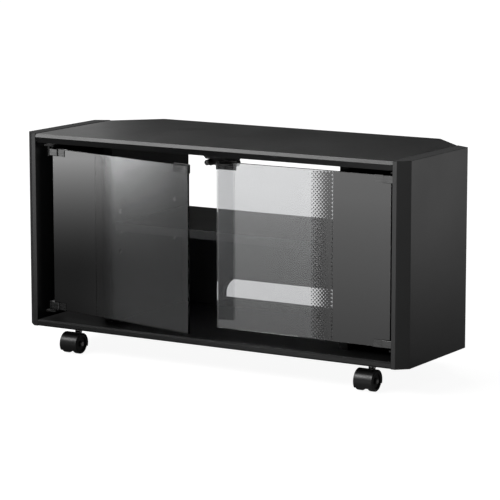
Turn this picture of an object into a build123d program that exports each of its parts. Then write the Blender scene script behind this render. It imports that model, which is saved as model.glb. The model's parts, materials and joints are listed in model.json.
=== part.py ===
"""Low corner media cabinet with two glass doors, on four twin-wheel casters.

Working frame: x across the width, y from the front plane backwards,
z up from the underside of the bottom board. Millimetres.
At the end everything is moved so that the origin is on the floor,
at the middle of the full box.
"""
from build123d import *
import os
from math import cos, radians, sin

os.makedirs("parts", exist_ok=True)

# Carcass
cabinet_width = 800.0
body_height = 361.5
side_thickness = 27.0
side_depth_outer = 232.0
side_depth_inner = 247.0
side_front_strip = 8.0
side_front_slope_depth = 18.5
edge_rounding = 0.8

top_recess = 1.0
top_thickness = 17.0
top_nose_slope_depth = 3.0
top_nose_slope_height = 6.0
top_nose_undercut = 8.0
bottom_thickness = 12.0
bottom_edge_bevel = 3.0
board_depth = 322.5
board_rear_half_width = 299.0

# Partitions and back
partition_inner_half = 240.0
partition_thickness = 18.0
partition_front = 55.0
partition_rear = 317.0
back_plane = 312.0
back_thickness = 16.0
corner_panel_thickness = 12.0
corner_panel_inset = 10.0

# Cable slot in the lower back panel
slot_half_width = 150.0
slot_bottom = 28.0
slot_height = 38.5
slot_corner_radius = 32.0

# Shelf and its pins
shelf_front = 68.0
shelf_underside = 181.0
shelf_thickness = 16.0
shelf_side_gap = 0.6
pin_radius = 2.5
pin_collar_radius = 4.0
pin_collar_thickness = 1.5
pin_reach = 7.0
sleeve_radius = 3.5
sleeve_depth = 10.0
sleeve_flange_radius = 4.6
sleeve_flange_thickness = 0.4
hole_row_pitch = 37.5
hole_column_front = 85.0
hole_column_rear = 270.0

# Glass doors
glass_thickness = 5.0
glass_front = 31.0
glass_free_edge = 1.7
glass_hinge_edge = 355.0
glass_bottom = 29.5
glass_top = 331.5
glass_edge_bevel = 0.5
left_door_open_angle = 12.5

# Hinge clamps on the glass, and brackets on the side panels
clamp_reach = 32.5
clamp_height = 13.5
clamp_bridge = 5.0
clamp_outer_jaw = 1.2
clamp_inner_jaw = 2.0
clamp_cap_reach = 15.0
clamp_cap_thickness = 2.3
clamp_rounding = 1.0
pivot_pin_radius = 1.5
pivot_pin_clearance = 0.05
pivot_pin_depth = 8.0
pivot_hole_extra = 1.0
clamp_screw_radius = 2.0
clamp_screw_head = 1.2
clamp_screw_reach = 20.0
bracket_plate_thickness = 3.0
bracket_plate_front = 40.0
bracket_plate_rear = 64.0
bracket_arm_gap = 3.5
bracket_arm_thickness = 3.0
bracket_arm_front = 28.5
bracket_arm_margin = 5.0
bracket_arm_rounding = 4.0
bracket_hang = 28.5
bracket_screw_radius = 2.0
bracket_screw_head_radius = 3.6
bracket_screw_head_thickness = 1.6
bracket_screw_length = 15.0

# Strike clips on the free top corners of the glass
strike_length = 40.0
strike_height = 14.0
strike_rise = 2.0
strike_thickness = 1.2
strike_end_thickness = 0.8
strike_front_lip = 5.0

# Push latch under the top board
latch_flange_half = 37.0
latch_half = 31.0
latch_front = 48.0
latch_depth = 12.0
latch_flange_height = 6.0
latch_height = 11.0
plunger_spacing_half = 23.0
plunger_axis_drop = 16.5
plunger_radius = 5.0
plunger_clearance = 0.06
plunger_tip = 37.6
plunger_length = 18.0
magnet_radius = 3.8
magnet_thickness = 2.5
barrel_radius = 6.6
barrel_length = 18.0
barrel_bore_depth = 14.5
barrel_front = 50.0
barrel_bridge_height = 5.0
latch_screw_y = 54.0
latch_screw_x = 33.0
latch_screw_radius = 1.75
latch_screw_head_radius = 3.2
latch_screw_head_thickness = 1.8
latch_screw_length = 14.0

# Casters
caster_x_front = 312.0
caster_y_front = 46.0
caster_x_rear = 255.0
caster_y_rear = 276.0
caster_height = 50.0
caster_trail = 16.0
wheel_radius = 18.5
wheel_width = 11.5
wheel_gap = 13.0
wheel_rounding = 2.0
wheel_dish_radius = 13.5
wheel_dish_depth = 2.0
wheel_hub_radius = 6.0
axle_radius = 2.5
axle_clearance = 0.06
axle_head_radius = 3.8
axle_head_thickness = 1.2
web_radius = 14.5
web_side_gap = 0.5
boss_radius = 6.0
boss_height = 17.0
fender_gap = 0.6
fender_thickness = 1.5
fender_front_drop = 35.0
fender_rear_drop = 20.0
kingpin_radius = 4.0
kingpin_clearance = 0.06
kingpin_length = 24.0
collar_radius = 6.5
collar_gap = 0.3
plate_size = 40.0
plate_thickness = 2.5
plate_rounding = 5.0
plate_hole_spacing = 29.0
plate_screw_radius = 1.9
plate_screw_head_radius = 3.4
plate_screw_head_thickness = 1.5
plate_screw_length = 11.0

# Screws that hold the partitions to the bottom board
carcass_screw_radius = 2.5
carcass_screw_head_radius = 4.5
carcass_screw_head_thickness = 3.0
carcass_screw_length = 48.0

# Derived positions
inner_half = cabinet_width / 2 - side_thickness
top_surface = body_height - top_recess
top_underside = top_surface - top_thickness
glass_back = glass_front + glass_thickness
pivot_x = glass_hinge_edge + clamp_bridge / 2
pivot_y = glass_front + glass_thickness / 2
partition_outer_half = partition_inner_half + partition_thickness
shelf_top = shelf_underside + shelf_thickness
pin_row = shelf_underside - pin_radius
axle_height = wheel_radius - caster_height

nodes = {}


def block(x0, x1, y0, y1, z0, z1):
    """Box between two corners."""
    centre = Pos((x0 + x1) / 2, (y0 + y1) / 2, (z0 + z1) / 2)
    return centre * Box(abs(x1 - x0), abs(y1 - y0), abs(z1 - z0))


def rod_x(radius, x0, x1, y, z):
    """Cylinder along x."""
    return Pos((x0 + x1) / 2, y, z) * Rot(0, 90, 0) * Cylinder(radius, abs(x1 - x0))


def rod_y(radius, x, y0, y1, z):
    """Cylinder along y."""
    return Pos(x, (y0 + y1) / 2, z) * Rot(90, 0, 0) * Cylinder(radius, abs(y1 - y0))


def rod_z(radius, x, y, z0, z1):
    """Cylinder along z."""
    return Pos(x, y, (z0 + z1) / 2) * Cylinder(radius, abs(z1 - z0))


def prism_z(points, z0, z1):
    """Upright prism on a plan outline."""
    face = make_face(Polyline(*points, close=True))
    return Pos(0, 0, z0) * extrude(face, z1 - z0, dir=(0, 0, 1))


def prism_x(points, half_length):
    """Bar along x with a (y, z) profile."""
    outline = [(0, y, z) for y, z in points]
    face = make_face(Polyline(*outline, close=True))
    return Pos(-half_length, 0, 0) * extrude(face, 2 * half_length, dir=(1, 0, 0))


def prism_y(points, y0, y1):
    """Bar along y with an (x, z) profile."""
    outline = [(x, y0, z) for x, z in points]
    face = make_face(Polyline(*outline, close=True))
    return extrude(face, y1 - y0, dir=(0, 1, 0))


def mirrored(shape):
    """The left-hand twin of a right-hand shape."""
    return mirror(shape, about=Plane.YZ)


def screw_z(radius, length, head_radius, head_thickness, x, y, z, up):
    """Screw along z: the head's outer face is at z, the shank runs towards up."""
    head = rod_z(head_radius, x, y, z, z + up * head_thickness)
    shank = rod_z(radius, x, y, z + up * head_thickness, z + up * length)
    socket = rod_z(head_radius * 0.45, x, y, z - up * 0.01, z + up * head_thickness * 0.6)
    return head + shank, (head + shank) - socket


# ---------------------------------------------------------------- side panels
side_outline = [
    (inner_half, 0),
    (inner_half + side_front_strip, 0),
    (cabinet_width / 2, side_front_slope_depth),
    (cabinet_width / 2, side_depth_outer),
    (inner_half, side_depth_inner),
]
right_side = prism_z(side_outline, 0, body_height)
right_side = fillet(right_side.edges().filter_by(Axis.Z), edge_rounding)

# ---------------------------------------------------------------- top and bottom boards
board_outline = [
    (-inner_half, 0),
    (inner_half, 0),
    (inner_half, side_depth_inner),
    (board_rear_half_width, board_depth),
    (-board_rear_half_width, board_depth),
    (-inner_half, side_depth_inner),
]
top_nose = [
    (top_nose_slope_depth, top_surface),
    (0, top_surface - top_nose_slope_height),
    (top_nose_undercut, top_underside),
    (board_depth + 1, top_underside),
    (board_depth + 1, top_surface),
]
top_board = prism_z(board_outline, top_underside, top_surface)
top_board = top_board & prism_x(top_nose, inner_half)

bottom_nose = [
    (bottom_edge_bevel, 0),
    (0, bottom_edge_bevel),
    (0, bottom_thickness - bottom_edge_bevel),
    (bottom_edge_bevel, bottom_thickness),
    (board_depth + 1, bottom_thickness),
    (board_depth + 1, 0),
]
bottom_board = prism_z(board_outline, 0, bottom_thickness)
bottom_board = bottom_board & prism_x(bottom_nose, inner_half)

# ---------------------------------------------------------------- partitions
right_partition = block(
    partition_inner_half,
    partition_outer_half,
    partition_front,
    partition_rear,
    bottom_thickness,
    top_underside,
)
front_edges = right_partition.edges().filter_by(Axis.Z).group_by(Axis.Y)[0]
right_partition = fillet(front_edges, edge_rounding)

# Rows of sleeved holes for the shelf pins
hole_columns = [hole_column_front, hole_column_rear]
hole_rows = [pin_row + step * hole_row_pitch for step in (-1, 0, 1)]
right_sleeves = []
for column in hole_columns:
    for row in hole_rows:
        wall_face = partition_inner_half
        hole = rod_x(sleeve_radius, wall_face, wall_face + sleeve_depth, column, row)
        flange = rod_x(
            sleeve_flange_radius, wall_face - sleeve_flange_thickness, wall_face, column, row
        )
        bore = rod_x(
            pin_radius,
            wall_face - sleeve_flange_thickness,
            wall_face + sleeve_depth - 1,
            column,
            row,
        )
        right_partition = right_partition - hole
        right_sleeves.append((hole + flange) - bore)

right_pins = []
for column in hole_columns:
    collar_face = partition_inner_half - sleeve_flange_thickness
    shank = rod_x(
        pin_radius,
        collar_face - pin_reach,
        partition_inner_half + sleeve_depth - 1,
        column,
        pin_row,
    )
    collar = rod_x(
        pin_collar_radius,
        collar_face - pin_collar_thickness,
        collar_face,
        column,
        pin_row,
    )
    collar = collar - block(0, cabinet_width, 0, back_plane, shelf_underside, body_height)
    right_pins.append(shank + collar)

# Screws up through the bottom board into each partition
partition_middle = (partition_inner_half + partition_outer_half) / 2
right_carcass_screws = []
for column in hole_columns:
    solid, screw = screw_z(
        carcass_screw_radius,
        carcass_screw_length,
        carcass_screw_head_radius,
        carcass_screw_head_thickness,
        partition_middle,
        column,
        0,
        1,
    )
    right_partition = right_partition - solid
    bottom_board = bottom_board - solid - mirrored(solid)
    right_carcass_screws.append(screw)

# ---------------------------------------------------------------- shelf
shelf = block(
    -partition_inner_half + shelf_side_gap,
    partition_inner_half - shelf_side_gap,
    shelf_front,
    back_plane,
    shelf_underside,
    shelf_top,
)
shelf_front_edges = shelf.edges().filter_by(Axis.X).group_by(Axis.Y)[0]
shelf = fillet(shelf_front_edges, edge_rounding)

# ---------------------------------------------------------------- lower back panel with its cable slot
lower_back = block(
    -partition_inner_half,
    partition_inner_half,
    back_plane - back_thickness,
    back_plane,
    bottom_thickness,
    shelf_underside,
)
slot = block(
    -slot_half_width,
    slot_half_width,
    back_plane - back_thickness - 1,
    back_plane + 1,
    slot_bottom,
    slot_bottom + slot_height,
)
slot_upper_edges = slot.edges().filter_by(Axis.Y).group_by(Axis.Z)[-1]
slot = fillet(slot_upper_edges, slot_corner_radius)
lower_back = lower_back - slot

# ---------------------------------------------------------------- slanted corner panels and rear stiles
run_x = board_rear_half_width - inner_half
run_y = board_depth - side_depth_inner
run = (run_x**2 + run_y**2) ** 0.5
lean_x = run_x / run
lean_y = run_y / run


def slanted_line_at(inset, x=None, y=None):
    """Point on the line parallel to the board's cut corner, moved inwards by inset."""
    start_x = inner_half - inset * lean_y
    start_y = side_depth_inner + inset * lean_x
    if x is not None:
        return (x, start_y + (x - start_x) * lean_y / lean_x)
    return (start_x + (y - start_y) * lean_x / lean_y, y)


outer_inset = corner_panel_inset
inner_inset = corner_panel_inset + corner_panel_thickness
stile_front = back_plane - corner_panel_thickness
right_corner = prism_z(
    [
        slanted_line_at(outer_inset, x=inner_half),
        slanted_line_at(outer_inset, y=back_plane),
        slanted_line_at(inner_inset, y=back_plane),
        slanted_line_at(inner_inset, x=inner_half),
    ],
    bottom_thickness,
    top_underside,
)
right_stile = prism_z(
    [
        (partition_outer_half, stile_front),
        slanted_line_at(inner_inset, y=stile_front),
        slanted_line_at(inner_inset, y=back_plane),
        (partition_outer_half, back_plane),
    ],
    bottom_thickness,
    top_underside,
)

# ---------------------------------------------------------------- right door, closed
right_glass = block(
    glass_free_edge, glass_hinge_edge, glass_front, glass_back, glass_bottom, glass_top
)
right_glass = chamfer(right_glass.edges(), glass_edge_bevel)


def hinge_clamp(low, high, pin_top):
    """Clamp round the hinge edge of the glass, between two heights."""
    edge = glass_hinge_edge
    outer_end = edge + clamp_bridge
    jaw_front = glass_front - clamp_outer_jaw
    jaw_back = glass_back + clamp_inner_jaw
    body = block(edge - clamp_reach, outer_end, jaw_front, jaw_back, low, high)
    body = body - block(0, edge, glass_front, glass_back, low - 1, high + 1)
    cap = block(
        edge - clamp_cap_reach, outer_end, jaw_front - clamp_cap_thickness, jaw_front, low, high
    )
    cap_edges = cap.faces().sort_by(Axis.Y)[0].edges()
    cap = fillet(cap_edges, clamp_rounding)
    body = body + cap
    hole_radius = pivot_pin_radius + pivot_pin_clearance
    hole_depth = pivot_pin_depth + pivot_hole_extra
    if pin_top:
        hole = rod_z(hole_radius, pivot_x, pivot_y, high - hole_depth, high)
    else:
        hole = rod_z(hole_radius, pivot_x, pivot_y, low, low + hole_depth)
    middle = (low + high) / 2
    screw_x = edge - clamp_screw_reach
    screw = rod_y(clamp_screw_radius, screw_x, glass_back, jaw_back + clamp_screw_head, middle)
    body = body - hole - screw
    socket = rod_y(
        clamp_screw_radius * 0.5,
        screw_x,
        jaw_back,
        jaw_back + clamp_screw_head + 0.01,
        middle,
    )
    return body, screw - socket


upper_clamp, upper_clamp_screw = hinge_clamp(glass_top - clamp_height, glass_top, True)
lower_clamp, lower_clamp_screw = hinge_clamp(glass_bottom, glass_bottom + clamp_height, False)


def hinge_bracket(arm_low, arm_high, plate_low, plate_high, pin_end):
    """Bracket on the side panel: a wall plate, an arm and the pivot pin fixed in it."""
    wall = inner_half
    plate = block(
        wall - bracket_plate_thickness,
        wall,
        bracket_plate_front,
        bracket_plate_rear,
        plate_low,
        plate_high,
    )
    arm = block(
        pivot_x - bracket_arm_margin,
        wall,
        bracket_arm_front,
        bracket_plate_rear,
        arm_low,
        arm_high,
    )
    free_edges = arm.edges().filter_by(Axis.Z).group_by(Axis.X)[0]
    arm = fillet(free_edges, bracket_arm_rounding)
    screws = []
    body = plate + arm
    outside = None
    for share in (0.3, 0.7):
        screw_y = bracket_plate_front + share * (bracket_plate_rear - bracket_plate_front)
        screw_height = (plate_low + plate_high) / 2
        head_face = wall - bracket_plate_thickness - bracket_screw_head_thickness
        head = rod_x(
            bracket_screw_head_radius,
            head_face,
            wall - bracket_plate_thickness,
            screw_y,
            screw_height,
        )
        shank = rod_x(
            bracket_screw_radius,
            wall - bracket_plate_thickness,
            wall - bracket_plate_thickness + bracket_screw_length,
            screw_y,
            screw_height,
        )
        socket = rod_x(
            bracket_screw_radius * 0.8,
            head_face - 0.01,
            head_face + bracket_screw_head_thickness * 0.6,
            screw_y,
            screw_height,
        )
        body = body - shank
        outside = shank if outside is None else outside + shank
        screws.append((head + shank) - socket)
    pin = rod_z(pivot_pin_radius, pivot_x, pivot_y, *pin_end)
    body = body - pin
    return body, pin, screws, outside


upper_arm_low = glass_top + bracket_arm_gap
upper_arm_high = upper_arm_low + bracket_arm_thickness
lower_arm_high = glass_bottom - bracket_arm_gap
lower_arm_low = lower_arm_high - bracket_arm_thickness
upper_bracket, upper_pin, upper_screws, upper_holes = hinge_bracket(
    upper_arm_low,
    upper_arm_high,
    top_underside - bracket_hang,
    upper_arm_high,
    (glass_top - pivot_pin_depth, upper_arm_high),
)
lower_bracket, lower_pin, lower_screws, lower_holes = hinge_bracket(
    lower_arm_low,
    lower_arm_high,
    lower_arm_low,
    bottom_thickness + bracket_hang,
    (lower_arm_low, glass_bottom + pivot_pin_depth),
)
right_side = right_side - upper_holes - lower_holes

# Strike clip: a plate behind the free top corner, folded round the edge
strike_low = glass_top - strike_height
strike_high = glass_top + strike_rise
strike_outer = glass_free_edge - strike_end_thickness
right_strike = block(
    strike_outer,
    strike_outer + strike_length,
    glass_back,
    glass_back + strike_thickness,
    strike_low,
    strike_high,
)
right_strike = right_strike + block(
    strike_outer,
    glass_free_edge,
    glass_front - strike_thickness,
    glass_back + strike_thickness,
    strike_low,
    glass_top,
)
right_strike = right_strike + block(
    strike_outer,
    strike_outer + strike_front_lip,
    glass_front - strike_thickness,
    glass_front,
    strike_low,
    glass_top,
)

# ---------------------------------------------------------------- push latch
flange_low = top_underside - latch_flange_height
latch_low = top_underside - latch_height
latch_profile = [
    (-latch_flange_half, top_underside),
    (-latch_flange_half, flange_low),
    (-latch_half, latch_low),
    (latch_half, latch_low),
    (latch_flange_half, flange_low),
    (latch_flange_half, top_underside),
]
latch_body = prism_y(latch_profile, latch_front, latch_front + latch_depth)
plunger_z = top_underside - plunger_axis_drop
barrel_rear = barrel_front + barrel_length
for side in (-1, 1):
    barrel_x = side * plunger_spacing_half
    latch_body = latch_body + rod_y(
        barrel_radius, barrel_x, barrel_front, barrel_rear, plunger_z
    )
latch_body = latch_body + block(
    -plunger_spacing_half,
    plunger_spacing_half,
    barrel_front,
    latch_front + latch_depth,
    plunger_z - barrel_bridge_height,
    latch_low + 1,
)
for side in (-1, 1):
    barrel_x = side * plunger_spacing_half
    latch_body = latch_body - rod_y(
        plunger_radius + plunger_clearance,
        barrel_x,
        barrel_front - 3,
        barrel_front + barrel_bore_depth,
        plunger_z,
    )

latch_screws = []
for side in (-1, 1):
    screw_middle = side * latch_screw_x
    solid, screw = screw_z(
        latch_screw_radius,
        latch_screw_length,
        latch_screw_head_radius,
        latch_screw_head_thickness,
        screw_middle,
        latch_screw_y,
        latch_low,
        1,
    )
    latch_body = latch_body - solid
    latch_body = latch_body - rod_z(
        latch_screw_head_radius, screw_middle, latch_screw_y, latch_low - 1, latch_low
    )
    top_board = top_board - solid
    latch_screws.append(screw)


def plunger_at(x):
    """Plunger with a magnet set into its tip."""
    rod = rod_y(plunger_radius, x, plunger_tip, plunger_tip + plunger_length, plunger_z)
    magnet = rod_y(magnet_radius, x, plunger_tip, plunger_tip + magnet_thickness, plunger_z)
    return rod - magnet, magnet


right_plunger, right_magnet = plunger_at(plunger_spacing_half)
left_plunger, left_magnet = plunger_at(-plunger_spacing_half)


# ---------------------------------------------------------------- casters
def caster(x, y):
    """Twin-wheel caster whose swivel axis is at (x, y), trailing towards the front."""
    axle_y = y - caster_trail
    plate = Pos(x, y, -plate_thickness / 2) * Box(plate_size, plate_size, plate_thickness)
    plate = fillet(plate.edges().filter_by(Axis.Z), plate_rounding)
    boss_top = axle_height + boss_height + fender_thickness
    collar = rod_z(collar_radius, x, y, boss_top + collar_gap, -plate_thickness)
    kingpin = rod_z(kingpin_radius, x, y, boss_top - kingpin_length, -plate_thickness)
    mount = plate + collar + kingpin

    screws = []
    for step_x in (-0.5, 0.5):
        for step_y in (-0.5, 0.5):
            solid, screw = screw_z(
                plate_screw_radius,
                plate_screw_length,
                plate_screw_head_radius,
                plate_screw_head_thickness,
                x + step_x * plate_hole_spacing,
                y + step_y * plate_hole_spacing,
                -plate_thickness - plate_screw_head_thickness,
                1,
            )
            mount = mount - solid
            screws.append((solid, screw))

    web_half = wheel_gap / 2 - web_side_gap
    web = rod_x(web_radius, x - web_half, x + web_half, axle_y, axle_height)
    neck = block(x - web_half, x + web_half, axle_y, y, axle_height, boss_top)
    boss = rod_z(boss_radius, x, y, boss_top - boss_height - 6, boss_top)
    outer_radius = wheel_radius + fender_gap + fender_thickness
    half_width = wheel_gap / 2 + wheel_width
    ring = rod_x(outer_radius, x - half_width, x + half_width, axle_y, axle_height)
    disc = ring
    ring = ring - rod_x(
        wheel_radius + fender_gap, x - half_width - 1, x + half_width + 1, axle_y, axle_height
    )
    far = 2 * outer_radius
    front_low = axle_height - far * sin(radians(fender_front_drop))
    rear_low = axle_height - far * sin(radians(fender_rear_drop))
    keep = [
        (axle_y, axle_height),
        (axle_y - far * cos(radians(fender_front_drop)), front_low),
        (axle_y - far, axle_height + far),
        (axle_y + far, axle_height + far),
        (axle_y + far * cos(radians(fender_rear_drop)), rear_low),
    ]
    sector = Pos(x, 0, 0) * prism_x(keep, half_width + 1)
    fender = ring & sector
    inner_fill = block(
        x - web_half, x + web_half, axle_y - outer_radius, y, axle_height, boss_top
    )
    web_fill = (disc & inner_fill) & sector
    hood = web + web_fill + (neck & disc) + boss + fender
    hood = hood - rod_z(
        kingpin_radius + kingpin_clearance,
        x,
        y,
        boss_top - kingpin_length - 0.5,
        boss_top + 1,
    )
    hood = hood - rod_x(axle_radius, x - half_width, x + half_width, axle_y, axle_height)

    axle_end = half_width + web_side_gap
    axle = rod_x(axle_radius, x - axle_end, x + axle_end, axle_y, axle_height)
    for side in (-1, 1):
        head_start = x + side * axle_end
        head_end = head_start + side * axle_head_thickness
        axle = axle + rod_x(axle_head_radius, head_start, head_end, axle_y, axle_height)

    wheels = []
    for side in (-1, 1):
        inner_face = x + side * wheel_gap / 2
        outer_face = inner_face + side * wheel_width
        wheel = rod_x(wheel_radius, inner_face, outer_face, axle_y, axle_height)
        rim_edges = wheel.edges().filter_by(GeomType.CIRCLE)
        wheel = fillet(rim_edges, wheel_rounding)
        dish = rod_x(
            wheel_dish_radius, outer_face - side * wheel_dish_depth, outer_face, axle_y, axle_height
        )
        hub = rod_x(
            wheel_hub_radius, outer_face - side * wheel_dish_depth, outer_face, axle_y, axle_height
        )
        wheel = (wheel - dish) + hub
        wheel = wheel - rod_x(
            axle_radius + axle_clearance, x - axle_end, x + axle_end, axle_y, axle_height
        )
        wheels.append(wheel)
    return mount, hood, axle, wheels, screws


caster_places = {
    "front_left": (-caster_x_front, caster_y_front),
    "front_right": (caster_x_front, caster_y_front),
    "rear_left": (-caster_x_rear, caster_y_rear),
    "rear_right": (caster_x_rear, caster_y_rear),
}
caster_screws = []
for place, (place_x, place_y) in caster_places.items():
    mount, hood, axle, wheels, screws = caster(place_x, place_y)
    nodes[place + "_caster_plate"] = mount
    nodes[place + "_caster_hood"] = hood
    nodes[place + "_caster_axle"] = axle
    nodes[place + "_caster_left_wheel"] = wheels[0]
    nodes[place + "_caster_right_wheel"] = wheels[1]
    for solid, screw in screws:
        bottom_board = bottom_board - solid
        caster_screws.append(screw)

# ---------------------------------------------------------------- left door, standing ajar
left_pivot = Pos(-pivot_x, pivot_y, 0)
ajar = left_pivot * Rot(0, 0, -left_door_open_angle) * Pos(pivot_x, -pivot_y, 0)


def left_ajar(shape):
    """Left-hand twin of a right door piece, turned about the left pivot."""
    return ajar * mirrored(shape)


# ---------------------------------------------------------------- node list
nodes["left_side_panel"] = mirrored(right_side)
nodes["right_side_panel"] = right_side
nodes["top_board"] = top_board
nodes["bottom_board"] = bottom_board
nodes["left_partition"] = mirrored(right_partition)
nodes["right_partition"] = right_partition
nodes["left_corner_panel"] = mirrored(right_corner)
nodes["right_corner_panel"] = right_corner
nodes["left_rear_stile"] = mirrored(right_stile)
nodes["right_rear_stile"] = right_stile
nodes["lower_back_panel"] = lower_back
nodes["shelf"] = shelf
nodes["shelf_pins"] = right_pins + [mirrored(piece) for piece in right_pins]
nodes["shelf_pin_sleeves"] = right_sleeves + [mirrored(piece) for piece in right_sleeves]
nodes["carcass_screws"] = right_carcass_screws + [
    mirrored(piece) for piece in right_carcass_screws
]
nodes["right_door_glass"] = right_glass
nodes["left_door_glass"] = left_ajar(right_glass)
nodes["right_hinge_clamps"] = [upper_clamp, lower_clamp]
nodes["left_hinge_clamps"] = [left_ajar(upper_clamp), left_ajar(lower_clamp)]
nodes["right_clamp_screws"] = [upper_clamp_screw, lower_clamp_screw]
nodes["left_clamp_screws"] = [left_ajar(upper_clamp_screw), left_ajar(lower_clamp_screw)]
nodes["right_strike_clip"] = right_strike
nodes["left_strike_clip"] = left_ajar(right_strike)
nodes["right_hinge_brackets"] = [upper_bracket, lower_bracket]
nodes["left_hinge_brackets"] = [mirrored(upper_bracket), mirrored(lower_bracket)]
nodes["right_hinge_pins"] = [upper_pin, lower_pin]
nodes["left_hinge_pins"] = [mirrored(upper_pin), mirrored(lower_pin)]
right_bracket_screws = upper_screws + lower_screws
nodes["bracket_screws"] = right_bracket_screws + [
    mirrored(piece) for piece in right_bracket_screws
]
nodes["latch_body"] = latch_body
nodes["latch_screws"] = latch_screws
nodes["left_plunger"] = left_plunger
nodes["right_plunger"] = right_plunger
nodes["left_plunger_magnet"] = left_magnet
nodes["right_plunger_magnet"] = right_magnet
nodes["caster_screws"] = caster_screws


def solids_of(item):
    """All solids of a node, as a list."""
    pieces = item if isinstance(item, list) else [item]
    found = []
    for piece in pieces:
        found.extend(piece.solids())
    return found


# Origin: on the floor, at the middle of the full box
full_box = Compound(children=solids_of(list(nodes.values())[0])).bounding_box()
front = full_box.min.Y
rear = full_box.max.Y
for item in nodes.values():
    for solid in solids_of(item):
        box = solid.bounding_box()
        front = min(front, box.min.Y)
        rear = max(rear, box.max.Y)
to_origin = Pos(0, -(front + rear) / 2, caster_height)

for name, item in nodes.items():
    placed = Compound(children=[to_origin * solid for solid in solids_of(item)])
    export_step(placed, "parts/" + name + ".step")
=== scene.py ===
"""Looks of the low corner media cabinet: materials, door print, tint film, studio and camera."""
import json
import math

import bpy
import bmesh
from mathutils import Matrix, Vector


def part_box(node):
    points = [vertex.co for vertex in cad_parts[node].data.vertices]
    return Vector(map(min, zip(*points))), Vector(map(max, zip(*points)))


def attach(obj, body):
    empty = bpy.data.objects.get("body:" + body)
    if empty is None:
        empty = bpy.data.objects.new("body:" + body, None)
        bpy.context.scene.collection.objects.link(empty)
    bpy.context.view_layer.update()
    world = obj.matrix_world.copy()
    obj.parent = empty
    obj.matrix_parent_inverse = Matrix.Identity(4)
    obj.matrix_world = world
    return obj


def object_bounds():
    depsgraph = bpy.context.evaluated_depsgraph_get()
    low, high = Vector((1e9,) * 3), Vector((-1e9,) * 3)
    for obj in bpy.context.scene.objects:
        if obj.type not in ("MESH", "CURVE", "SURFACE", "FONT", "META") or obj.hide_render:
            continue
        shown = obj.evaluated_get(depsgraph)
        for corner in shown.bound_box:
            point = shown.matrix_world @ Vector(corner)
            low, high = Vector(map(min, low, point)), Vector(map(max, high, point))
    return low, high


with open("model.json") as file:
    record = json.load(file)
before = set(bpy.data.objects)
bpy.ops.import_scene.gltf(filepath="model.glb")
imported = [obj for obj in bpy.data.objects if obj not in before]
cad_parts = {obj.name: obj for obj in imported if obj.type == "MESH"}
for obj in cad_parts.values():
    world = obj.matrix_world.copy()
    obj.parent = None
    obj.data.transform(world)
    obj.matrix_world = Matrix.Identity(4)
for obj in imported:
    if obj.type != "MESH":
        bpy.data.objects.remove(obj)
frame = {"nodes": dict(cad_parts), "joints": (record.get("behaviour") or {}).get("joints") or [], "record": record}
cad_low, cad_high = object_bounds()
scene = bpy.context.scene
scene.view_settings.view_transform = "Standard"
scene.view_settings.look = "None"


# ---------------------------------------------------------------- node helpers
class Tree:
    """Short calls for building one node tree."""

    def __init__(self, tree):
        self.tree = tree
        tree.nodes.clear()

    def node(self, kind, **settings):
        made = self.tree.nodes.new(kind)
        for name, value in settings.items():
            setattr(made, name, value)
        return made

    def put(self, socket, value):
        """Links an output to a socket, or sets the socket to a number or colour."""
        if isinstance(value, bpy.types.NodeSocket):
            self.tree.links.new(value, socket)
        else:
            socket.default_value = value

    def maths(self, operation, first, second=0.0, clamp=False):
        made = self.node("ShaderNodeMath", operation=operation, use_clamp=clamp)
        self.put(made.inputs[0], first)
        self.put(made.inputs[1], second)
        return made.outputs[0]

    def ramp(self, value, low, high, to_low=0.0, to_high=1.0, smooth=True):
        """Value between low and high becomes a value between to_low and to_high."""
        made = self.node("ShaderNodeMapRange")
        made.interpolation_type = "SMOOTHSTEP" if smooth else "LINEAR"
        self.put(made.inputs["Value"], value)
        for name, number in (
            ("From Min", low),
            ("From Max", high),
            ("To Min", to_low),
            ("To Max", to_high),
        ):
            self.put(made.inputs[name], number)
        return made.outputs["Result"]

    def place(self):
        """Position in the cabinet's own frame, in metres."""
        return self.node("ShaderNodeTexCoord").outputs["Object"]

    def stretched(self, vector, scale):
        made = self.node("ShaderNodeMapping")
        self.put(made.inputs["Vector"], vector)
        made.inputs["Scale"].default_value = scale
        return made.outputs["Vector"]

    def noise(self, vector, scale, detail=3.0, roughness=0.5):
        made = self.node("ShaderNodeTexNoise")
        self.put(made.inputs["Vector"], vector)
        made.inputs["Scale"].default_value = scale
        made.inputs["Detail"].default_value = detail
        made.inputs["Roughness"].default_value = roughness
        return made.outputs["Fac"]

    def blend(self, share, first, second):
        made = self.node("ShaderNodeMix", data_type="RGBA")
        self.put(made.inputs[0], share)
        self.put(made.inputs[6], first)
        self.put(made.inputs[7], second)
        return made.outputs[2]

    def bump(self, height, strength, distance):
        made = self.node("ShaderNodeBump")
        made.inputs["Strength"].default_value = strength
        made.inputs["Distance"].default_value = distance
        self.put(made.inputs["Height"], height)
        return made.outputs["Normal"]

    def mix(self, share, first, second):
        made = self.node("ShaderNodeMix", data_type="FLOAT")
        self.put(made.inputs[0], share)
        self.put(made.inputs[2], first)
        self.put(made.inputs[3], second)
        return made.outputs[0]

    def seen(self):
        """One where the eye meets this surface directly or through glass, zero in reflections."""
        path = self.node("ShaderNodeLightPath").outputs
        unmirrored = self.maths("LESS_THAN", path["Glossy Depth"], 0.5)
        undiffused = self.maths("LESS_THAN", path["Diffuse Depth"], 0.5)
        straight = self.maths("MULTIPLY", unmirrored, undiffused)
        through = self.maths("MULTIPLY", path["Is Transmission Ray"], straight)
        return self.maths("MAXIMUM", path["Is Camera Ray"], through)


def grey(value, warmth=0.0):
    """Neutral colour, a little warm or cold."""
    return (value * (1 + warmth), value, value * (1 - warmth), 1.0)


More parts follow.
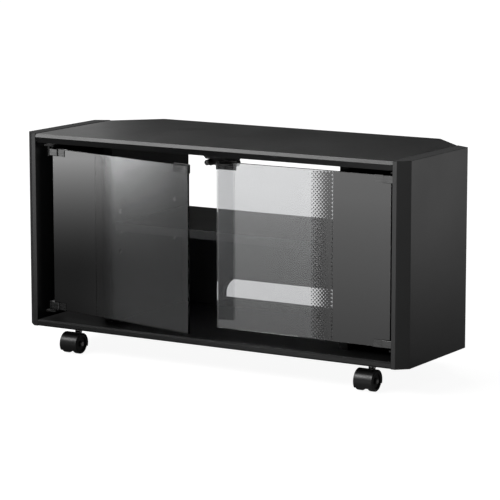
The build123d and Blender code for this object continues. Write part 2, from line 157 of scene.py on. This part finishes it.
def surface(name, colour, roughness, normal=None, **fixed):
    """Material of one principled shader. fixed holds sockets set straight on the shader."""
    material = bpy.data.materials.new(name)
    material.use_nodes = True
    tree = Tree(material.node_tree)
    out = tree.node("ShaderNodeOutputMaterial")
    shader = tree.node("ShaderNodeBsdfPrincipled")
    tree.tree.links.new(shader.outputs[0], out.inputs["Surface"])
    tree.put(shader.inputs["Base Color"], colour(tree))
    tree.put(shader.inputs["Roughness"], roughness(tree))
    if normal is not None:
        tree.put(shader.inputs["Normal"], normal(tree))
    for socket, value in fixed.items():
        shader.inputs[socket.replace("_", " ")].default_value = value
    return material


# ---------------------------------------------------------------- materials
plain_ior = 1.5
edged_ior = 1.6
film_ior = 1.65
enamel_ior = 1.77


def laminate(name, matte_above=None):
    """Black satin foil on board, with a fine embossed grain and faint cloudiness. Above the
    given height the board's edge has a matte edging."""

    def colour(t):
        cloud = t.ramp(t.noise(t.place(), 9.0, 4.0), 0.3, 0.7)
        fleck = t.ramp(t.noise(t.place(), 900.0, 2.0), 0.55, 0.8)
        base = t.blend(cloud, grey(0.0062, -0.03), grey(0.0085, -0.03))
        return t.blend(fleck, base, grey(0.012, -0.03))

    def roughness(t):
        handled = t.ramp(t.noise(t.place(), 5.0, 5.0, 0.6), 0.3, 0.75, 0.30, 0.36)
        fine = t.ramp(t.noise(t.place(), 700.0, 2.0), 0.3, 0.7, -0.02, 0.02)
        satin = t.maths("ADD", handled, fine)
        if matte_above is None:
            return satin
        split = t.node("ShaderNodeSeparateXYZ")
        t.put(split.inputs[0], t.place())
        edging = t.ramp(split.outputs[2], matte_above - 0.0004, matte_above, smooth=False)
        return t.mix(edging, satin, 0.92)

    def normal(t):
        pores = t.noise(t.place(), 1500.0, 2.0, 0.6)
        waves = t.noise(t.place(), 60.0, 2.0)
        height = t.maths("ADD", pores, t.maths("MULTIPLY", waves, 0.8))
        return t.bump(height, 0.10, 0.00012)

    index = plain_ior if matte_above is None else edged_ior
    return surface(name, colour, roughness, normal, IOR=index)


def shaded_inner_board():
    """Matte black board inside the cabinet, a darker and duller copy of the laminate: painted shade for the
    cabinet's dim inside.
    """

    def colour(t):
        return t.blend(t.noise(t.place(), 14.0, 4.0), grey(0.005, -0.03), grey(0.0075, -0.03))

    def roughness(t):
        return t.ramp(t.noise(t.place(), 300.0, 3.0), 0.3, 0.7, 0.5, 0.6)

    def normal(t):
        return t.bump(t.noise(t.place(), 1300.0, 2.0, 0.6), 0.12, 0.00012)

    return surface("shaded_inner_board", colour, roughness, normal, IOR=plain_ior, Specular_IOR_Level=0.15)


def glass():
    """Tempered pane: nearly clear, its smoke colour comes from the film behind it."""

    def colour(t):
        return t.blend(t.noise(t.place(), 3.0), (0.955, 0.965, 0.97, 1), (0.965, 0.97, 0.975, 1))

    def roughness(t):
        return t.ramp(t.noise(t.place(), 14.0, 5.0, 0.65), 0.45, 0.8, 0.0, 0.02)

    return surface("pane_glass", colour, roughness, Transmission_Weight=1.0, IOR=plain_ior)


def film():
    """Smoke tint behind the pane."""

    def colour(t):
        return t.blend(
            t.noise(t.place(), 4.0, 2.0), (0.475, 0.475, 0.48, 1), (0.495, 0.495, 0.50, 1)
        )

    def roughness(t):
        return t.ramp(t.noise(t.place(), 30.0, 4.0), 0.4, 0.8, 0.0, 0.015)

    return surface("smoke_film", colour, roughness, Transmission_Weight=1.0, IOR=film_ior)


def print_ink():
    """Glossy black enamel print on the pane."""

    def colour(t):
        return t.blend(t.noise(t.place(), 700.0, 2.0), grey(0.0035), grey(0.0055))

    def roughness(t):
        return t.ramp(t.noise(t.place(), 14.0, 5.0, 0.65), 0.45, 0.8, 0.0, 0.025)

    return surface("door_print", colour, roughness, IOR=enamel_ior)


def dark_steel():
    """Black-plated hinge and strike plates, finely brushed."""

    def colour(t):
        return t.blend(t.noise(t.place(), 60.0, 4.0), grey(0.075), grey(0.11))

    def roughness(t):
        brushed = t.noise(t.stretched(t.place(), (40.0, 40.0, 2500.0)), 1.0, 3.0)
        return t.ramp(brushed, 0.3, 0.7, 0.20, 0.32)

    def normal(t):
        brushed = t.noise(t.stretched(t.place(), (40.0, 40.0, 3000.0)), 1.0, 2.0)
        return t.bump(brushed, 0.06, 0.00005)

    return surface("black_steel", colour, roughness, normal, Metallic=1.0)


def hinge_black():
    """Black-oxide hinge brackets and pins, nearly matte."""

    def colour(t):
        return t.blend(t.noise(t.place(), 90.0, 4.0), grey(0.006), grey(0.012))

    def roughness(t):
        return t.ramp(t.noise(t.place(), 300.0, 4.0), 0.3, 0.7, 0.42, 0.58)

    def normal(t):
        return t.bump(t.noise(t.place(), 1500.0, 2.0), 0.1, 0.00005)

    return surface("hinge_black", colour, roughness, normal, IOR=plain_ior)


def bright_steel():
    """Zinc-plated screws, pins, axles and caster plates."""

    def colour(t):
        return t.blend(t.noise(t.place(), 220.0, 4.0), grey(0.5, 0.01), grey(0.72, 0.015))

    def roughness(t):
        return t.ramp(t.noise(t.place(), 400.0, 4.0), 0.3, 0.7, 0.18, 0.34)

    def normal(t):
        return t.bump(t.noise(t.place(), 1200.0, 2.0), 0.08, 0.00005)

    return surface("bright_steel", colour, roughness, normal, Metallic=1.0)


def moulded(name, dark, light, rough_low, rough_high, grain):
    """Moulded black plastic with a fine spark-eroded grain."""

    def colour(t):
        return t.blend(t.noise(t.place(), 45.0, 4.0), grey(dark), grey(light))

    def roughness(t):
        return t.ramp(t.noise(t.place(), 70.0, 5.0), 0.3, 0.7, rough_low, rough_high)

    def normal(t):
        return t.bump(t.noise(t.place(), 2200.0, 2.0), grain, 0.00008)

    return surface(name, colour, roughness, normal, IOR=plain_ior)


def tread():
    """Black nylon wheel, dulled by dust where it rolls."""

    def colour(t):
        dust = t.ramp(t.noise(t.place(), 130.0, 5.0, 0.6), 0.45, 0.8)
        return t.blend(dust, grey(0.008), grey(0.022, 0.03))

    def roughness(t):
        return t.ramp(t.noise(t.place(), 90.0, 5.0), 0.3, 0.7, 0.34, 0.52)

    def normal(t):
        return t.bump(t.noise(t.place(), 1800.0, 2.0), 0.2, 0.00008)

    return surface("nylon_wheel", colour, roughness, normal, IOR=plain_ior)


materials = {
    "black_laminate": laminate("black_laminate"),
    "smoked_glass": glass(),
    "black_steel": dark_steel(),
    "bright_steel": bright_steel(),
    "black_plastic": moulded("black_plastic", 0.006, 0.012, 0.36, 0.5, 0.18),
    "gloss_plastic": moulded("gloss_plastic", 0.010, 0.016, 0.30, 0.40, 0.05),
}
wheel_material = tread()
hinge_material = hinge_black()
shaded_inner_material = shaded_inner_board()
edging_depth = 0.0003
side_material = laminate("edged_laminate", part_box("left_side_panel")[1].z - edging_depth)
film_material = film()
ink_material = print_ink()

finish_by_ending = (
    (("_wheel",), wheel_material),
    (("_hinge_brackets", "_hinge_pins", "bracket_screws"), hinge_material),
    # inner boards take the darker, duller copy of the laminate as painted shade
    (("_partition", "_rear_stile", "_corner_panel"), shaded_inner_material),
    (("_side_panel",), side_material),
)

for part in frame["record"]["subparts"]:
    node = frame["nodes"][part["node"]]
    finish = materials[part["material_slot"]]
    for endings, special in finish_by_ending:
        if part["node"].endswith(endings):
            finish = special
    if not node.data.materials:
        node.data.materials.append(finish)
    for index in range(len(node.data.materials)):
        node.data.materials[index] = finish

for name in ("left_door_glass", "right_door_glass"):
    frame["nodes"][name].visible_shadow = False
frame["nodes"]["left_side_panel"].visible_glossy = False


# ---------------------------------------------------------------- print and film on the doors
glass_low, glass_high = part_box("right_door_glass")
left_hinge = next(j for j in frame["joints"] if j["name"] == "left_door_hinge")
left_pivot = Vector(left_hinge["pos_m"])
left_angle = math.radians(left_hinge["range_deg"][0])
to_left_door = (
    Matrix.Translation(left_pivot)
    @ Matrix.Rotation(left_angle, 4, "Z")
    @ Matrix.Translation(-left_pivot)
)

edge_margin = 0.0008
print_edge = 0.2400
fade_start = 0.1980
column_pitch = 0.0035
row_pitch = 0.0070
dot_smallest = 0.0012
dot_largest = 0.0033
dot_sides = 14
column_lift = 0.00002
ink_gap = 0.00003
ink_thickness = 0.00006
film_gap = 0.00018
film_thickness = 0.00012


def slab(mesh, x0, x1, y0, y1, z0, z1):
    """Closed thin box with its corners as given."""
    corners = [
        mesh.verts.new((x, y, z)) for x in (x0, x1) for y in (y0, y1) for z in (z0, z1)
    ]
    for quad in (
        (0, 1, 3, 2),
        (4, 6, 7, 5),
        (0, 4, 5, 1),
        (2, 3, 7, 6),
        (0, 2, 6, 4),
        (1, 5, 7, 3),
    ):
        mesh.faces.new([corners[i] for i in quad])


def dot(mesh, x, z, y0, y1, radius):
    """Thin round dot of ink."""
    front, back = [], []
    for step in range(dot_sides):
        angle = 2 * math.pi * (step + 0.5) / dot_sides
        dx, dz = radius * math.cos(angle), radius * math.sin(angle)
        front.append(mesh.verts.new((x + dx, y0, z + dz)))
        back.append(mesh.verts.new((x + dx, y1, z + dz)))
    mesh.faces.new(front)
    mesh.faces.new(back[::-1])
    for step in range(dot_sides):
        after = (step + 1) % dot_sides
        mesh.faces.new((front[after], front[step], back[step], back[after]))


def door_sheet(name, body, side, build, material):
    """Sheet built for a closed door on the given side, then put on that door."""
    mesh = bmesh.new()
    build(mesh, side)
    bmesh.ops.recalc_face_normals(mesh, faces=mesh.faces)
    if side < 0:
        bmesh.ops.transform(mesh, matrix=to_left_door, verts=mesh.verts)
    data = bpy.data.meshes.new(name)
    mesh.to_mesh(data)
    mesh.free()
    data.materials.append(material)
    made = bpy.data.objects.new(name, data)
    scene.collection.objects.link(made)
    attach(made, body)
    return made


def build_print(mesh, side):
    """Opaque band on the hinge side, fading out in staggered dots."""
    y0 = glass_low.y - ink_gap - ink_thickness
    y1 = y0 + ink_thickness
    z0, z1 = glass_low.z + edge_margin, glass_high.z - edge_margin
    slab(mesh, side * print_edge, side * (glass_high.x - edge_margin), y0, y1, z0, z1)
    columns = int((print_edge - fade_start) / column_pitch)
    rows = int((z1 - z0) / row_pitch)
    for column in range(columns + 1):
        share = column / columns
        radius = dot_smallest + (dot_largest - dot_smallest) * share
        x = fade_start + column * column_pitch
        stagger = 0.5 * (column % 2)
        lift = -column_lift * (column % 2)
        for row in range(rows + 1):
            z = z0 + (row + stagger) * row_pitch
            if z0 + radius / 2 < z < z1 - radius / 2:
                dot(mesh, side * x, z, y0 + lift, y1 + lift, radius)


def build_film(mesh, side):
    """Tint over the whole pane."""
    y0 = glass_high.y + film_gap
    slab(
        mesh,
        side * (glass_low.x + edge_margin),
        side * (glass_high.x - edge_margin),
        y0,
        y0 + film_thickness,
        glass_low.z + edge_margin,
        glass_high.z - edge_margin,
    )


for place, side in (("left", -1), ("right", 1)):
    door_sheet(place + "_door_print", place + "_door", side, build_print, ink_material)
    tint = door_sheet(place + "_door_film", place + "_door", side, build_film, film_material)
    tint.visible_shadow = False


# ---------------------------------------------------------------- studio
window_way = (-0.819, -0.574)
window_side = (0.574, -0.819)
backdrop_way = (0.857, -0.518)
right_way = (0.98, -0.197)
floor_half = 30.0
floor_drop = 0.0005
floor_grey = 0.25
backdrop_level = 1.05
room_low, room_high = 0.025, 0.16


def painted_floor_light(t):
    """Painted light and shade: how bright the floor looks in reflections. A painted shadow falls off towards
    the cabinet, behind it and to its right, and a painted pool of light lies at the far left, as under a window
    there."""
    where = t.node("ShaderNodeSeparateXYZ")
    t.put(where.inputs[0], t.place())
    x, y = where.outputs[0], where.outputs[1]

    def direction(share_x, share_y):
        return t.maths("ADD", t.maths("MULTIPLY", x, share_x), t.maths("MULTIPLY", y, share_y))

    along = direction(*window_way)
    across = direction(*window_side)
    near = t.maths("MULTIPLY", y, -1.0)
    fan = t.maths("ADD", across, t.maths("MULTIPLY", along, 0.05))
    radius = t.node("ShaderNodeVectorMath", operation="LENGTH")
    t.put(radius.inputs[0], t.place())
    radius = radius.outputs["Value"]
    # painted shade in reflections: the floor in front darkens towards the cabinet
    rise = t.ramp(near, 0.45, 2.1, 0.66, 1.42, smooth=False)
    left = t.ramp(fan, -0.1, 0.05, 0.115, 0.22)
    # painted shadow on the floor just in front of the cabinet
    left = t.maths("MULTIPLY", left, t.ramp(near, 0.15, 0.45, 0.35, 1.0))
    front = t.mix(t.ramp(fan, 0.19, 0.30), left, rise)
    # painted shade behind the cabinet, lighter further away
    far = t.maths("POWER", t.ramp(radius, 0.0, 3.2, smooth=False), 2.0)
    behind = t.maths("ADD", 0.09, t.maths("MULTIPLY", far, 1.27))
    behind = t.mix(t.ramp(direction(*backdrop_way), -0.1, 0.2), 0.08, behind)
    is_front = t.ramp(near, -0.1, 0.35)
    level = t.mix(is_front, behind, front)
    # painted pool of light at the far left
    painted_pool = t.maths("POWER", t.ramp(along, 1.1, 3.06, smooth=False), 2.1)
    painted_pool = t.maths("MULTIPLY", painted_pool, t.ramp(fan, -0.07, 0.13, 1.0, 0.22, smooth=False))
    painted_pool = t.maths("MULTIPLY", painted_pool, t.maths("MULTIPLY", is_front, 2.75))
    level = t.maths("ADD", level, painted_pool)
    rightward = t.maths("DIVIDE", direction(*right_way), t.maths("MAXIMUM", radius, 0.01))
    aside = t.ramp(rightward, 0.86, 0.97)
    # painted shade on the floor to the cabinet's right
    dimmed = t.ramp(radius, 0.6, 2.2, 0.45, 0.22, smooth=False)
    return t.maths("MULTIPLY", level, t.mix(aside, 1.0, dimmed)), radius


def studio_floor():
    """Pale floor: white where seen, with a soft contact shadow, partly real from the lamps and partly painted as a
    dimmer glow near the cabinet; in reflections it shows painted light and shade instead.
    """
    half = floor_half
    mesh = bmesh.new()
    corners = [
        mesh.verts.new((x, y, 0))
        for x, y in ((-half, -half), (half, -half), (half, half), (-half, half))
    ]
    mesh.faces.new(corners)
    data = bpy.data.meshes.new("floor")
    mesh.to_mesh(data)
    mesh.free()
    floor = bpy.data.objects.new("floor", data)
    scene.collection.objects.link(floor)
    floor.location.z = cad_low.z - floor_drop
    material = bpy.data.materials.new("pale_floor_painted_light")
    material.use_nodes = True
    t = Tree(material.node_tree)
    level, radius = painted_floor_light(t)
    shown = t.node("ShaderNodeEmission")
    # painted contact shadow: the floor's glow dims near the cabinet
    t.put(shown.inputs["Strength"], t.ramp(radius, 0.4, 2.5, 0.93, 1.02))
    lit = t.node("ShaderNodeBsdfDiffuse")
    lit.inputs["Color"].default_value = grey(floor_grey)
    both = t.node("ShaderNodeAddShader")
    t.put(both.inputs[0], shown.outputs[0])
    t.put(both.inputs[1], lit.outputs[0])
    # painted floor light and shade, shown only in reflections
    painted_reflection_light = t.node("ShaderNodeEmission")
    t.put(painted_reflection_light.inputs["Strength"], level)
    choose = t.node("ShaderNodeMixShader")
    t.put(choose.inputs[0], t.seen())
    t.put(choose.inputs[1], painted_reflection_light.outputs[0])
    t.put(choose.inputs[2], both.outputs[0])
    out = t.node("ShaderNodeOutputMaterial")
    t.put(out.inputs["Surface"], choose.outputs[0])
    data.materials.append(material)


def studio_world():
    """White backdrop, and a dim room for everything that isn't seen directly."""
    world = bpy.data.worlds.new("studio")
    scene.world = world
    world.use_nodes = True
    t = Tree(world.node_tree)
    ray = t.node("ShaderNodeTexCoord").outputs["Generated"]
    split = t.node("ShaderNodeSeparateXYZ")
    t.put(split.inputs[0], ray)
    room = t.ramp(split.outputs[2], 0.0, 0.9, room_low, room_high)
    back = t.node("ShaderNodeBackground")
    t.put(back.inputs["Strength"], t.mix(t.seen(), room, backdrop_level))
    out = t.node("ShaderNodeOutputWorld")
    t.put(out.inputs["Surface"], back.outputs[0])


def softbox(name, centre, target, width, height, radiance):
    """Soft rectangular light whose face has the given brightness."""
    data = bpy.data.lights.new(name, "AREA")
    data.shape = "RECTANGLE"
    data.size, data.size_y = width, height
    data.energy = radiance * math.pi * width * height
    lamp = bpy.data.objects.new(name, data)
    scene.collection.objects.link(lamp)
    lamp.location = centre
    lamp.rotation_mode = "QUATERNION"
    lamp.rotation_quaternion = (Vector(target) - Vector(centre)).to_track_quat("-Z", "Y")
    return lamp


def shade_inside(lamp):
    """Keeps a light off the boards inside the cabinet."""
    shaded = bpy.data.collections.new(lamp.name + "_shaded")
    for name in ("bottom_board", "shelf", "left_partition", "right_partition", "lower_back_panel"):
        shaded.objects.link(frame["nodes"][name])
    lamp.light_linking.receiver_collection = shaded
    for entry in shaded.collection_objects:
        entry.light_linking.link_state = "EXCLUDE"


studio_floor()
studio_world()
middle = (cad_low + cad_high) / 2
softboxes = {
    # offset from the middle of the cabinet, width, height, radiance, off the inner boards
    "key": ((-1.15, -1.95, 1.6), 2.3, 0.9, 8.0, False),
    "top": ((-0.9, 0.8, 1.9), 1.6, 1.2, 3.2, True),
    "back_left": ((-3.22, 2.96, 0.95), 1.54, 1.8, 0.5, True),
    "back_fill": ((1.6, 2.2, 2.0), 1.4, 1.0, 1.2, False),
}
for name, (offset, width, height, radiance, shaded) in softboxes.items():
    lamp = softbox(name, middle + Vector(offset), middle, width, height, radiance)
    if shaded:
        shade_inside(lamp)

# ---------------------------------------------------------------- camera
azimuth = math.radians(31.199)
elevation = math.radians(9.558)
distance = 4.7823
aim = Vector((-0.0006, 0.0124, 0.20418))
back = Vector(
    (
        math.sin(azimuth) * math.cos(elevation),
        -math.cos(azimuth) * math.cos(elevation),
        math.sin(elevation),
    )
)
camera_data = bpy.data.cameras.new("camera")
camera_data.lens = 187.96
camera_data.sensor_width = 36.0
camera_data.clip_end = 100.0
camera = bpy.data.objects.new("camera", camera_data)
scene.collection.objects.link(camera)
camera.location = aim + back * distance
camera.rotation_mode = "QUATERNION"
camera.rotation_quaternion = (-back).to_track_quat("-Z", "Y")
scene.camera = camera
